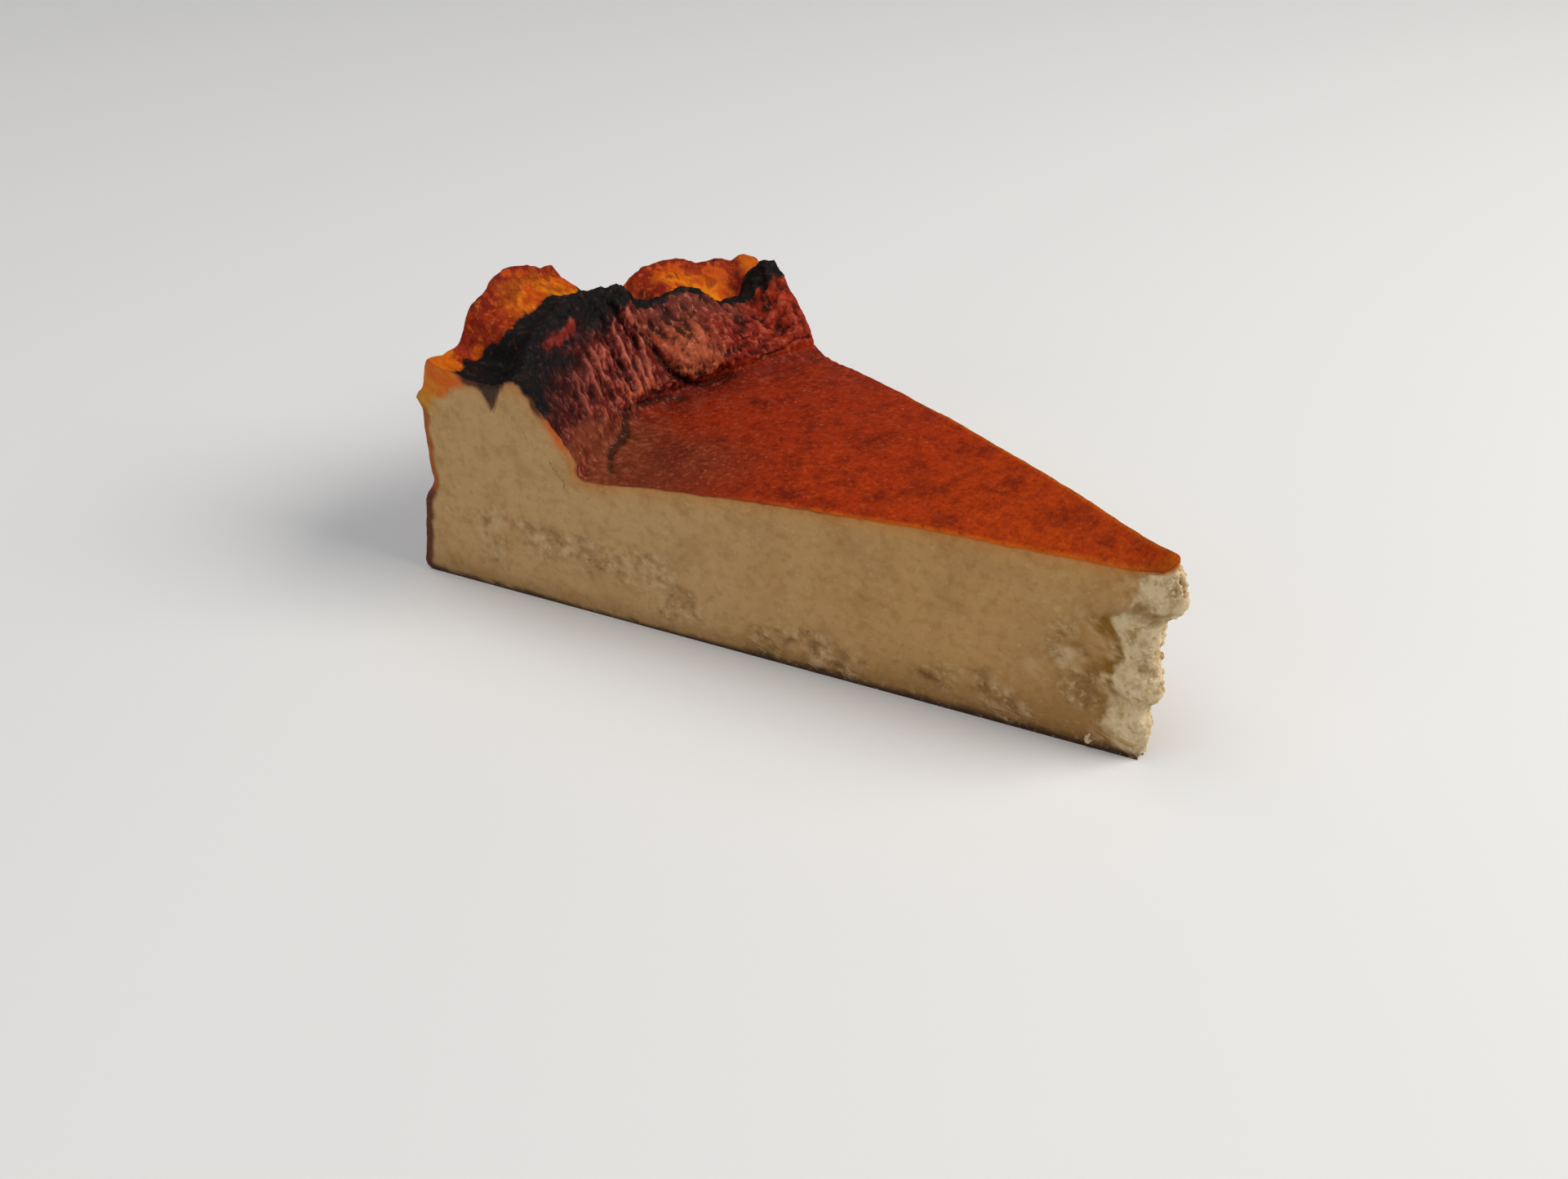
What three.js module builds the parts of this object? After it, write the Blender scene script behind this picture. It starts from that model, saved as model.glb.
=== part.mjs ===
// One slice of basque (burnt) cheesecake, a tenth of a round cake baked in crumpled paper.
// Millimetres, +Z up. The slice stands on its flat base, its pointed tip towards +X and its tall
// folded rim towards -X. The origin is the middle of its bounding box, at the height of the base.
//
// The form is described in the round cake's own terms: a radius from the cake's centre, an angle
// across the slice in degrees (0 in the middle, negative towards the -Y cut), and a height.
import * as THREE from "three";
import { ParametricGeometry } from "three/addons/geometries/ParametricGeometry.js";
import { mergeGeometries, mergeVertices } from "three/addons/utils/BufferGeometryUtils.js";

// Driving dimensions
const TIN_RADIUS = 125; // a 25 cm tin
const SLICE_ANGLE = 36; // a tenth of the cake
const HALF_ANGLE = SLICE_ANGLE / 2;
const CENTRE_HEIGHT = 33; // at the tip, which was the cake's centre
const SINK = 8; // how much lower the top lies at the foot of the rim
const SINK_RADIUS = 95;
const SINK_POWER = 1.8;
const TOP_TILT = 0.7; // the top is this much higher at the +Y cut and lower at the -Y cut
const SINK_SKEW = 0.12; // and sinks this share more towards the +Y cut
const BASE_ROUNDING = 1.5; // of the wall's lower edge

// The rim, from the foot of its inner slope to the wall
const FOOT_RADIUS = 96.8;
const FOOT_DRIFT = 4.3; // the foot lies this much nearer the centre at the -Y cut
const CREST_RADIUS = 108;
const CREST_DRIFT = 2.3; // so does the crest
const CREST_FAR_SHIFT = 4; // and it lies this much further out at the +Y cut
const DIP_OFFSET = 3; // from the crest to the dip behind it
const DIP_DEPTH = 1.6; // below the lower of the crest and the outer edge
const EDGE_RADIUS = 118.5; // the outer edge that stands up behind the crest
const EDGE_LEAN = 2.5; // the edge's inner side rises over this distance
const EDGE_SHOULDER = 0.7; // and has risen by this share where it starts to round over
const EDGE_INSET = 1; // the edge stays this far inside the wall
const SLOPE_POWER = 1.25; // over 1 hollows the wrinkled slope
const PUFF_POWER = 1.9; // over 1 makes the puffed slope bulge towards the centre

// The wall, which took the shape of the creased paper
const WALL_LEAN = 4; // the wall leans in by this much over WALL_LEAN_HEIGHT
const WALL_LEAN_HEIGHT = 18;
const PLEATS = [
  { pitch: 9, depth: 1.3 }, // degrees, each a whole share of half the slice
  { pitch: 3.6, depth: 0.7 },
];
const PLEATS_FULL_HEIGHT = 25; // the pleats deepen from the base up to here
const NOTCH = { at: 18, halfWidth: 2.2, power: 2, height: 1.2 }; // a fold of the paper pressed in all round

// Wrinkles down the inner slope, on the -Y side
const WRINKLE_PITCH = 2.1; // degrees
const WRINKLE_DEPTH = 0.8;
const WRINKLE_SLANT = 2.4; // degrees that a wrinkle drifts from the crest to the foot
const WRINKLE_FADE = 0.83; // the wrinkles die out this share of the way up the slope

// Folds of the rim, each a lump of added height: its angle, half width, power and height.
// A power over 2 makes a flatter top and steeper flanks.
const CREST_LOW = 33.5;
const CREST_FOLDS = [
  { at: -18, halfWidth: 1.5, power: 2, height: 1.7 },
  { at: -8, halfWidth: 9.5, power: 6, height: 11 },
  { at: -7.5, halfWidth: 3.5, power: 2, height: 1.2 },
  { at: 5, halfWidth: 4.2, power: 4, height: 5.3 },
  { at: 17, halfWidth: 1.6, power: 2, height: 4.3 },
];
const EDGE_LOW = 34;
const EDGE_FOLDS = [
  { at: -18, halfWidth: 1.5, power: 2, height: 6.2 },
  { at: -8.3, halfWidth: 6.3, power: 5, height: 13.6 },
  { at: 8.5, halfWidth: 5, power: 4, height: 4.6 },
  { at: 15.9, halfWidth: 1.4, power: 2, height: 2.6 },
];
// Where the slope is smooth and puffed instead of wrinkled
const PUFFED_FOLD = { at: 10, halfWidth: 8.6, power: 6, height: 1 };
const PUFFED_CUT = { at: -18.5, halfWidth: 3, power: 2, height: 0.8 };
const CREASE = { at: 9, halfWidth: 7.5, power: 6, height: 0.9 }; // where and how far it overhangs its foot

// The tip, where the curd tore instead of cutting clean
const SKIN_TIP_RADIUS = 3; // inside this radius the skin is one small pointed facet
const TEAR_RADIUS = 7.5; // below the skin the cuts end at this radius
const TEAR_SWELLS = [
  { at: 22.5, halfWidth: 3.5, power: 2, height: 2 },
  { at: 13.5, halfWidth: 3, power: 2, height: -1.5 },
  { at: 0, halfWidth: 3, power: 2, height: -2.5 },
  { at: CENTRE_HEIGHT, halfWidth: 6, power: 4, height: -2.5 },
];
const LUMP_BLUNTNESS = 0.6; // under 1 squares the torn tip off
const LUMP_REACH = -1.5; // how far the torn curd stands towards +X, from the cake's centre
const LUMP_SWELLS = [
  { at: 29, halfWidth: 3.2, power: 2, height: 4 },
  { at: 6, halfWidth: 3, power: 2, height: 0.9 },
  { at: 0, halfWidth: 2, power: 2, height: -2.5 },
];

// Fineness
const COLUMNS = 60; // across the slice
const ROWS_PER_SPAN = 2; // between two neighbouring points of a section
const FLAT_SPANS = 6;
const SLOPE_SHARES = [0.25, 0.5, 0.75]; // of the way from the foot to the crest
const WALL_HEIGHTS = [30, 22, 18, 14, 7];
const TIP_ROWS = 14;
const WELD_DISTANCE = 1e-4;

const radians = THREE.MathUtils.degToRad;
const mix = THREE.MathUtils.lerp;

function lump({ at, halfWidth, power, height }, place) {
  return height * Math.exp(-(Math.abs((place - at) / halfWidth) ** power));
}

function sum(lumps, place) {
  return lumps.reduce((total, one) => total + lump(one, place), 0);
}

function angleAt(across) {
  return mix(-HALF_ANGLE, HALF_ANGLE, across);
}

// A point of the cake from its radius, angle and height. The tip's side is +X.
function polar(radius, angle, height, target) {
  return target.set(-radius * Math.cos(radians(angle)), radius * Math.sin(radians(angle)), height);
}

function topHeight(radius, angle) {
  const side = angle / HALF_ANGLE;
  const sunk = SINK * (1 + SINK_SKEW * side) * (radius / SINK_RADIUS) ** SINK_POWER;
  return CENTRE_HEIGHT + TOP_TILT * side - sunk;
}

function wallRadius(angle, height) {
  const lean = WALL_LEAN * THREE.MathUtils.smoothstep(height, 0, WALL_LEAN_HEIGHT);
  const pleat = PLEATS.reduce(
    (total, { pitch, depth }) => total + (depth * (1 - Math.cos((2 * Math.PI * angle) / pitch))) / 2,
    0,
  );
  const grown = THREE.MathUtils.smoothstep(height, 0, PLEATS_FULL_HEIGHT);
  return TIN_RADIUS - lean - pleat * grown - lump(NOTCH, height);
}

// How far the slope's skin stands out from its smooth form. share is 0 at the foot and 1 at the crest.
function wrinkle(angle, share) {
  const phase = (2 * Math.PI * (angle - WRINKLE_SLANT * (1 - share))) / WRINKLE_PITCH;
  const smooth = sum([PUFFED_FOLD, PUFFED_CUT], angle);
  const fade = Math.sin(Math.PI * Math.min(1, share / WRINKLE_FADE));
  return WRINKLE_DEPTH * (1 - smooth) * fade * Math.sin(phase);
}

// One section of the slice in the plane of an angle, from the tip over the rim to the wall's foot.
function sectionAt(angle) {
  const nearSide = THREE.MathUtils.smoothstep(-angle, 0, HALF_ANGLE);
  const farSide = THREE.MathUtils.smoothstep(angle, HALF_ANGLE / 2, HALF_ANGLE);
  const puff = sum([PUFFED_FOLD, PUFFED_CUT], angle);
  const points = [];

  const footRadius = FOOT_RADIUS - FOOT_DRIFT * nearSide;
  const footHeight = topHeight(footRadius, angle);
  for (let i = 0; i < FLAT_SPANS; i++) {
    const radius = mix(SKIN_TIP_RADIUS, footRadius, i / FLAT_SPANS);
    points.push([radius, topHeight(radius, angle)]);
  }
  points.push([footRadius + lump(CREASE, angle), footHeight]);

  const crestRadius = CREST_RADIUS - CREST_DRIFT * nearSide + CREST_FAR_SHIFT * farSide;
  const crestHeight = CREST_LOW + sum(CREST_FOLDS, angle);
  for (const share of SLOPE_SHARES) {
    const outwards = mix(share, share ** PUFF_POWER, puff);
    const upwards = mix(share ** SLOPE_POWER, share, puff);
    points.push([
      mix(footRadius, crestRadius, outwards) - wrinkle(angle, share),
      mix(footHeight, crestHeight, upwards),
    ]);
  }
  points.push([crestRadius, crestHeight]);

  const edgeHeight = EDGE_LOW + sum(EDGE_FOLDS, angle);
  const dipHeight = Math.min(crestHeight, edgeHeight) - DIP_DEPTH;
  const edgeRadius = Math.min(EDGE_RADIUS, wallRadius(angle, edgeHeight) - EDGE_INSET);
  points.push([crestRadius + DIP_OFFSET, dipHeight]);
  points.push([edgeRadius - EDGE_LEAN, mix(dipHeight, edgeHeight, EDGE_SHOULDER)]);
  points.push([edgeRadius, edgeHeight]);

  for (const height of WALL_HEIGHTS) points.push([wallRadius(angle, height), height]);
  points.push([TIN_RADIUS, BASE_ROUNDING]);
  points.push([TIN_RADIUS - BASE_ROUNDING, 0]);
  return new THREE.SplineCurve(points.map(([radius, height]) => new THREE.Vector2(radius, height)));
}

// The torn tip: a blunt nose between the two cuts. down is 0 at the skin and 1 at the base.
function tipPoint(across, down, target) {
  const angle = angleAt(across);
  const height = topHeight(SKIN_TIP_RADIUS, angle) * (1 - down);
  const skin = 1 - Math.min(1, down * TIP_ROWS); // only the first row belongs to the skin
  const cutRadius = mix(TEAR_RADIUS + sum(TEAR_SWELLS, height), SKIN_TIP_RADIUS, skin);
  const reach = mix(LUMP_REACH + sum(LUMP_SWELLS, height), 0, skin);
  const halfWidth = cutRadius * Math.sin(radians(HALF_ANGLE));
  const back = -cutRadius * Math.cos(radians(HALF_ANGLE));
  const turn = Math.PI * (across - 0.5);
  const blunt = Math.max(0, Math.cos(turn)) ** LUMP_BLUNTNESS;
  const pointed = 1 - Math.abs(Math.sin(turn));
  const bulge = mix(blunt, pointed, skin);
  return target.set(mix(back, reach, bulge), halfWidth * Math.sin(turn), height);
}

function skinPoint(across, along, target) {
  if (along === 0) return tipPoint(across, 0, target);
  const angle = angleAt(across);
  const { x: radius, y: height } = sectionAt(angle).getPoint(along);
  return polar(radius, angle, height, target);
}

function pointsAlong(pointAt, count) {
  return Array.from({ length: count + 1 }, (_, i) => pointAt(i / count, new THREE.Vector3()));
}

// A flat face inside a closed outline. flatten turns a point into the face's own two coordinates.
function flatFace(outline, flatten) {
  const triangles = THREE.ShapeUtils.triangulateShape(outline.map(flatten), []);
  const geometry = new THREE.BufferGeometry().setFromPoints(outline);
  return geometry.setIndex(triangles.flat());
}

function cutFace(across, rows) {
  const over = pointsAlong((along, target) => skinPoint(across, along, target), rows);
  const down = pointsAlong((share, target) => tipPoint(across, share, target), TIP_ROWS);
  const outline = [...over, ...down.slice(1).reverse()];
  return flatFace(outline, (point) => new THREE.Vector2(-point.x, point.z));
}

function baseFace() {
  const wallFoot = pointsAlong((across, target) => skinPoint(across, 1, target), COLUMNS);
  const tipFoot = pointsAlong((across, target) => tipPoint(across, 1, target), COLUMNS);
  const outline = [...wallFoot, ...tipFoot.reverse()];
  return flatFace(outline, (point) => new THREE.Vector2(point.x, point.y));
}

// The same sheet with its faces pointing the other way.
function turnedOver(geometry) {
  const corners = Array.from(geometry.index.array);
  return geometry.setIndex(corners.reverse());
}

function bare(geometry) {
  geometry.deleteAttribute("normal");
  geometry.deleteAttribute("uv");
  return geometry;
}

function sliceGeometry() {
  const rows = (sectionAt(0).points.length - 1) * ROWS_PER_SPAN;
  const skin = new ParametricGeometry(skinPoint, COLUMNS, rows);
  const tip = new ParametricGeometry(tipPoint, COLUMNS, TIP_ROWS);
  const sheets = [
    skin,
    turnedOver(tip),
    turnedOver(cutFace(0, rows)),
    cutFace(1, rows),
    turnedOver(baseFace()),
  ];
  const geometry = mergeVertices(mergeGeometries(sheets.map(bare)), WELD_DISTANCE);
  geometry.computeBoundingBox();
  const middle = geometry.boundingBox.getCenter(new THREE.Vector3());
  geometry.translate(-middle.x, -middle.y, 0);
  geometry.computeVertexNormals();
  return geometry;
}

const slice = new THREE.Mesh(
  sliceGeometry(),
  new THREE.MeshStandardMaterial({ color: 0xb5713c, roughness: 0.6, metalness: 0 }),
);
slice.name = "cheesecake_slice";

const part = new THREE.Group();
part.add(slice);

export default part;
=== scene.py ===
"""A slice of basque cheesecake: its fine surface, materials, camera and light.

The slice is described in the round cake's own terms: a radius from the cake's centre in mm, an angle across
the slice in degrees (0 in the middle, negative towards the -Y cut, the near one) and a height over the base
in mm. On the rim, "up" is how far up from its foot a point is in mm, and "share" the same in shares of its
slope, past 1 behind the crest. The numbers in the masks below are such places, and strengths of 0 to 1.
"""

import math
from types import SimpleNamespace

import bmesh
import bpy
import numpy as np
from mathutils import Matrix, Vector, noise


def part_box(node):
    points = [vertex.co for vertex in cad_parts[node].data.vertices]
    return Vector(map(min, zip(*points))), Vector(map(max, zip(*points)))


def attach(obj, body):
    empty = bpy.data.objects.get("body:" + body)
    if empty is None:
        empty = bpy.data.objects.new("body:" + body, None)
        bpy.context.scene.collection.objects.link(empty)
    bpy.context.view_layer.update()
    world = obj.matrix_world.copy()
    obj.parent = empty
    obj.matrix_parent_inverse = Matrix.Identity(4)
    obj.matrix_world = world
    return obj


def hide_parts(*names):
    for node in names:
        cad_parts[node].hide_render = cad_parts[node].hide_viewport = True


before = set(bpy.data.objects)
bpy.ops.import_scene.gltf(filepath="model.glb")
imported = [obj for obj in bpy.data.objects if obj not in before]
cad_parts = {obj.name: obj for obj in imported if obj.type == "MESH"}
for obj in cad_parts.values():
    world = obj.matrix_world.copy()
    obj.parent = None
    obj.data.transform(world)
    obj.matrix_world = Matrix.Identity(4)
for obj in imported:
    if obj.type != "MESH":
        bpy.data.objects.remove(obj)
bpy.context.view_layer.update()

NODE = "cheesecake_slice"
MM = 0.001

# ---- form, as in the CAD part. Lumps are (at, half width, power, height), at an angle or at a height
TIN_RADIUS = 125
HALF_ANGLE = 18
CENTRE_HEIGHT = 33
SINK = 8
SINK_RADIUS = 95
SINK_POWER = 1.8
TOP_TILT = 1.2
TIP_LIFT = 0.7
TIP_CURL = 0.9
TIP_FADE = 0.45
SINK_SKEW = 0.12
BASE_ROUNDING = 1.5

FOOT_RADIUS = 96.8
FOOT_DRIFT = 4.3
CREST_RADIUS = 108
CREST_DRIFT = 2.3
CREST_FAR_SHIFT = 4
CREST_NEAR_SHIFT = (-18.5, 3, 2, -1.7)
DIP_OFFSET = 3
DIP_DEPTH = 1.6
EDGE_RADIUS = 119.5
EDGE_CORNER = (-18.6, 1.6, 2, 1)
EDGE_LEAN = 2.5
EDGE_SHOULDER = 0.7
EDGE_INSET = 0.8
SLOPE_POWER = 1.25
PUFF_POWER = 1.9
SLOPE_SHARES = (0.25, 0.5, 0.75)

WALL_LEAN = 2.9
WALL_LEAN_HEIGHT = 22
WALL_FLARES = ((0, 9, 2, 1), (14, 3.5, 2, 0.9), (25, 3.2, 2, 0.6))
BY_NEAR_CUT = (-HALF_ANGLE, 7, 4)
WALL_HEIGHTS = (30, 22, 18, 14, 7)
PLEATS = ((9, 1.3), (3.6, 0.7))  # pitch in degrees and depth
PLEATS_FULL_HEIGHT = 25

NOTCH = (19.6, 1.7, 2, 1.5)
BUMP = (33.2, 1.2, 2, 1.9)
CREST_LOW = 33.2
CREST_FOLDS = (
    (-18.4, 1.9, 2, 4.5), (-8, 9.3, 6, 11), (-7.2, 2.2, 2, 1.4), (-0.7, 1.1, 2, 1.3),
    (5.4, 4, 4, 5.3), (14, 1, 2, -0.9), (16.9, 1.7, 2, 4.2),
)
EDGE_LOW = 34
EDGE_FOLDS = (
    (-16.5, 3.2, 4, 5.4), (-18.3, 0.8, 2, 0.9), (-8, 5.8, 8, 10.9), (-8.6, 3.2, 2, 2.5),
    (-11.4, 1, 2, -0.9), (-2.9, 0.8, 2, 1.3), (-4.6, 0.9, 2, -0.5), (7.9, 4.4, 3, 4.5),
    (13.2, 1.6, 2, 1), (14.4, 1.3, 2, 1.3), (16.6, 1, 2, 1.9),
)
PUFFED_FOLD = (10.5, 9.4, 8, 1)
PUFFED_CUT = (-18.5, 3, 2, 0.55)
FOOT_CREASE = (4, 5, 6, 0.9)

SKIN_TIP_RADIUS = 3
SKIN_REACH = -1.2
LUMP_BLUNTNESS = 0.6
TIP_SKIN_DEPTH = 1.4
# The torn tip, by height: how far the tear reaches along a cut, and how far its middle stands out
TEAR_PROFILE = (
    (0, 2.2), (1, 2.6), (2, 4.6), (3, 6.3), (4.6, 7.6), (7.5, 6.8), (9.8, 5.4), (11.5, 7),
    (13.3, 8), (16, 5.9), (18.8, 6.6), (23.3, 8.8), (26, 5.6), (29.4, 5.4), (32, 5.2), (33.2, 3),
)
LUMP_PROFILE = (
    (0, -2.9), (2.5, -2), (6.3, -1.2), (8.4, -2.3), (9.6, -2), (11.3, -0.6), (13, -0.5), (16, -1.9),
    (19.3, -2.1), (22, -2), (24.5, -1.6), (26.6, 0.6), (28.5, 1.1), (30.6, 0.5), (32.4, -0.6), (33.2, -0.9),
)

# ---- fineness: how many rows and columns of points
COLUMNS = 200
FLAT_SPANS = 6
FLAT_ROWS = 18
SLOPE_ROWS = 18
EDGE_ROWS = 12
WALL_ROWS = (14, 9, 6, 6, 8, 8, 3)


def smooth(value, start, end):
    """0 before start, 1 after end, and a smooth step between."""
    share = np.clip((value - start) / (end - start), 0, 1)
    return share * share * (3 - 2 * share)


def fade(value, start, end):
    """1 before start, 0 after end, and a smooth step between."""
    return 1 - smooth(value, start, end)


def near(distance, reach):
    """1 at no distance, fading away over the reach."""
    return np.exp(-((distance / reach) ** 2))


def mix(a, b, share):
    return a + (b - a) * share


def lump(place, at, half_width, power, height=1):
    return height * np.exp(-(np.abs((place - at) / half_width) ** power))


def lumps(place, several):
    return sum(lump(place, *one) for one in several)


def along(place, profile, reach=0.6):
    """A profile's value at each place, softened over a short reach."""
    at, value = np.array(profile).T
    return sum(np.interp(place + step, at, value) for step in (-reach, 0, reach)) / 3


def knobs(points, size):
    """Round knobs with creases between them, about -0.5 to 0.5."""
    flat = np.asarray(points, float).reshape(-1, 3) / size
    nearest = [noise.voronoi(Vector(p))[0][0] for p in flat.tolist()]
    return (0.5 - np.array(nearest)).reshape(points.shape[:-1])


def rough(points, size, octaves=3, place=0):
    """Soft noise of about -1 to 1 at each point, with features of a size. Each place gives another."""
    shift = Vector((place, 1.7 * place, 0.6 * place))
    flat = np.asarray(points, float).reshape(-1, 3) / size
    values = [noise.fractal(Vector(p) + shift, 1.0, 2.0, octaves) for p in flat.tolist()]
    return np.array(values).reshape(points.shape[:-1])


def ridged(phase):
    """A wave of narrow ridges and wide valleys, 0 to 1, that repeats each time phase grows by 1."""
    return (1 - np.abs(2 * (phase - np.floor(phase)) - 1)) ** 1.6


# ---- the smooth form
def polar(radius, angle, height):
    turn = np.radians(angle)
    return np.stack([-radius * np.cos(turn), radius * np.sin(turn), height + 0 * radius], axis=-1)


def top_height(radius, angle):
    side = angle / HALF_ANGLE
    sunk = SINK * (1 + SINK_SKEW * side) * (radius / SINK_RADIUS) ** SINK_POWER
    return CENTRE_HEIGHT + TOP_TILT * side - sunk


def wall_radius(angle, height):
    lean = WALL_LEAN * smooth(height, 0, WALL_LEAN_HEIGHT)
    pleat = sum(depth * (1 - np.cos(2 * np.pi * angle / pitch)) / 2 for pitch, depth in PLEATS)
    grown = smooth(height, 0, PLEATS_FULL_HEIGHT)
    by_cut = lump(angle, *BY_NEAR_CUT)
    dent = (lump(height, *NOTCH) - lump(height, *BUMP)) * (0.25 + 0.75 * by_cut)
    return TIN_RADIUS - lean - pleat * grown - dent + lumps(height, WALL_FLARES) * by_cut


def foot_radius_at(angle):
    return FOOT_RADIUS - FOOT_DRIFT * smooth(-angle, 0, HALF_ANGLE)


def section_points(angle):
    """The points that each section of the slice runs through, from the tip over the rim to the base."""
    puff = lumps(angle, (PUFFED_FOLD, PUFFED_CUT))
    foot_radius = foot_radius_at(angle)
    foot_height = top_height(foot_radius, angle)
    flat = [mix(SKIN_TIP_RADIUS, foot_radius, i / FLAT_SPANS) for i in range(FLAT_SPANS)]
    points = [(radius, top_height(radius, angle)) for radius in flat]
    points.append((foot_radius + lump(angle, *FOOT_CREASE), foot_height))

    fold_radius = CREST_RADIUS - CREST_DRIFT * smooth(-angle, 0, HALF_ANGLE)
    fold_radius = fold_radius + CREST_FAR_SHIFT * smooth(angle, HALF_ANGLE / 2, HALF_ANGLE)
    crest_radius = fold_radius + lump(angle, *CREST_NEAR_SHIFT)
    crest_height = CREST_LOW + lumps(angle, CREST_FOLDS)
    for share in SLOPE_SHARES:
        outwards = mix(share, share**PUFF_POWER, puff)
        upwards = mix(share**SLOPE_POWER, share, puff)
        points.append((mix(foot_radius, crest_radius, outwards), mix(foot_height, crest_height, upwards)))

    edge_height = EDGE_LOW + lumps(angle, EDGE_FOLDS)
    dip_height = np.minimum(crest_height, edge_height) - DIP_DEPTH
    edge_radius = np.minimum(EDGE_RADIUS, wall_radius(angle, edge_height) - EDGE_INSET)
    edge_radius = edge_radius + lump(angle, *EDGE_CORNER)
    points += [
        (crest_radius, crest_height),
        (fold_radius + DIP_OFFSET, dip_height),
        (edge_radius - EDGE_LEAN, mix(dip_height, edge_height, EDGE_SHOULDER)),
        (edge_radius, edge_height),
    ]
    points += [(wall_radius(angle, height), height) for height in (*WALL_HEIGHTS, BASE_ROUNDING)]
    points.append((wall_radius(angle, 0) - BASE_ROUNDING, 0))
    return np.array([[r + 0 * angle, z + 0 * angle] for r, z in points])


def spline(points, rows):
    """Smooth curves through points, with so many rows in each span, and each row's place in spans."""
    last = len(points) - 1
    curve, place = [], []
    for i, count in enumerate(rows):
        p0, p1, p2, p3 = (points[np.clip(j, 0, last)] for j in (i - 1, i, i + 1, i + 2))
        for step in range(count):
            t = step / count
            out, back = (p2 - p0) / 2, (p3 - p1) / 2
            cubic = 2 * (p1 - p2) + out + back
            square = 3 * (p2 - p1) - 2 * out - back
            curve.append(((cubic * t + square) * t + out) * t + p1)
            place.append(i + t)
    curve.append(points[last])
    place.append(last)
    return np.array(curve), np.array(place)


angles = np.linspace(-HALF_ANGLE, HALF_ANGLE, COLUMNS + 1)
span_rows = [FLAT_ROWS] * FLAT_SPANS + [SLOPE_ROWS] * 4 + [EDGE_ROWS] * 3 + list(WALL_ROWS)
FOOT, CREST, EDGE = FLAT_SPANS, FLAT_SPANS + 4, FLAT_SPANS + 7  # their places, in spans
EDGE_ROW = sum(span_rows[:EDGE])


def tip_points(down):
    """The torn tip, a blunt nose between the two cuts. down is 0 at the skin and 1 at the base."""
    down = down[:, None]
    turn = np.pi * angles[None, :] / (2 * HALF_ANGLE)
    rounded = np.clip(np.cos(turn), 0, 1)
    top = top_height(SKIN_TIP_RADIUS, angles[None, :]) + TIP_LIFT + TIP_CURL * rounded
    height = top * (1 - down)
    skin = fade(top * down, 0, TIP_SKIN_DEPTH)
    ragged = rough(np.stack([height, 0 * height, 0 * height], -1), 1.8, 3, 4.2)
    cut_radius = mix(along(height, TEAR_PROFILE) + 0.5 * ragged, SKIN_TIP_RADIUS, skin)
    reach = mix(along(height, LUMP_PROFILE), SKIN_REACH, skin)
    half_width = cut_radius * math.sin(math.radians(HALF_ANGLE))
    back = -cut_radius * math.cos(math.radians(HALF_ANGLE))
    nose = mix(rounded**LUMP_BLUNTNESS, rounded, skin)
    return np.stack([mix(back, reach, nose), half_width * np.sin(turn), height], -1)


def normals_of(grid):
    down, across = np.gradient(grid, axis=(0, 1))
    normal = np.cross(across, down)
    return normal / np.maximum(np.linalg.norm(normal, axis=-1, keepdims=True), 1e-9)


def cut_normal(side):
    """Out of the slice, square to the cut on that side: -1 is the -Y cut and 1 the +Y cut."""
    turn = math.radians(HALF_ANGLE)
    return np.array([math.sin(turn), side * math.cos(turn), 0])


# ---- the skin's relief and colour
def hues(**seen):
    """Named colours as seen on screen, 0 to 255, in linear light."""
    linear = {}
    for name, rgb in seen.items():
        share = np.array(rgb) / 255
        linear[name] = np.where(share < 0.04045, share / 12.92, ((share + 0.055) / 1.055) ** 2.4)
    return SimpleNamespace(**linear)


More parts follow.
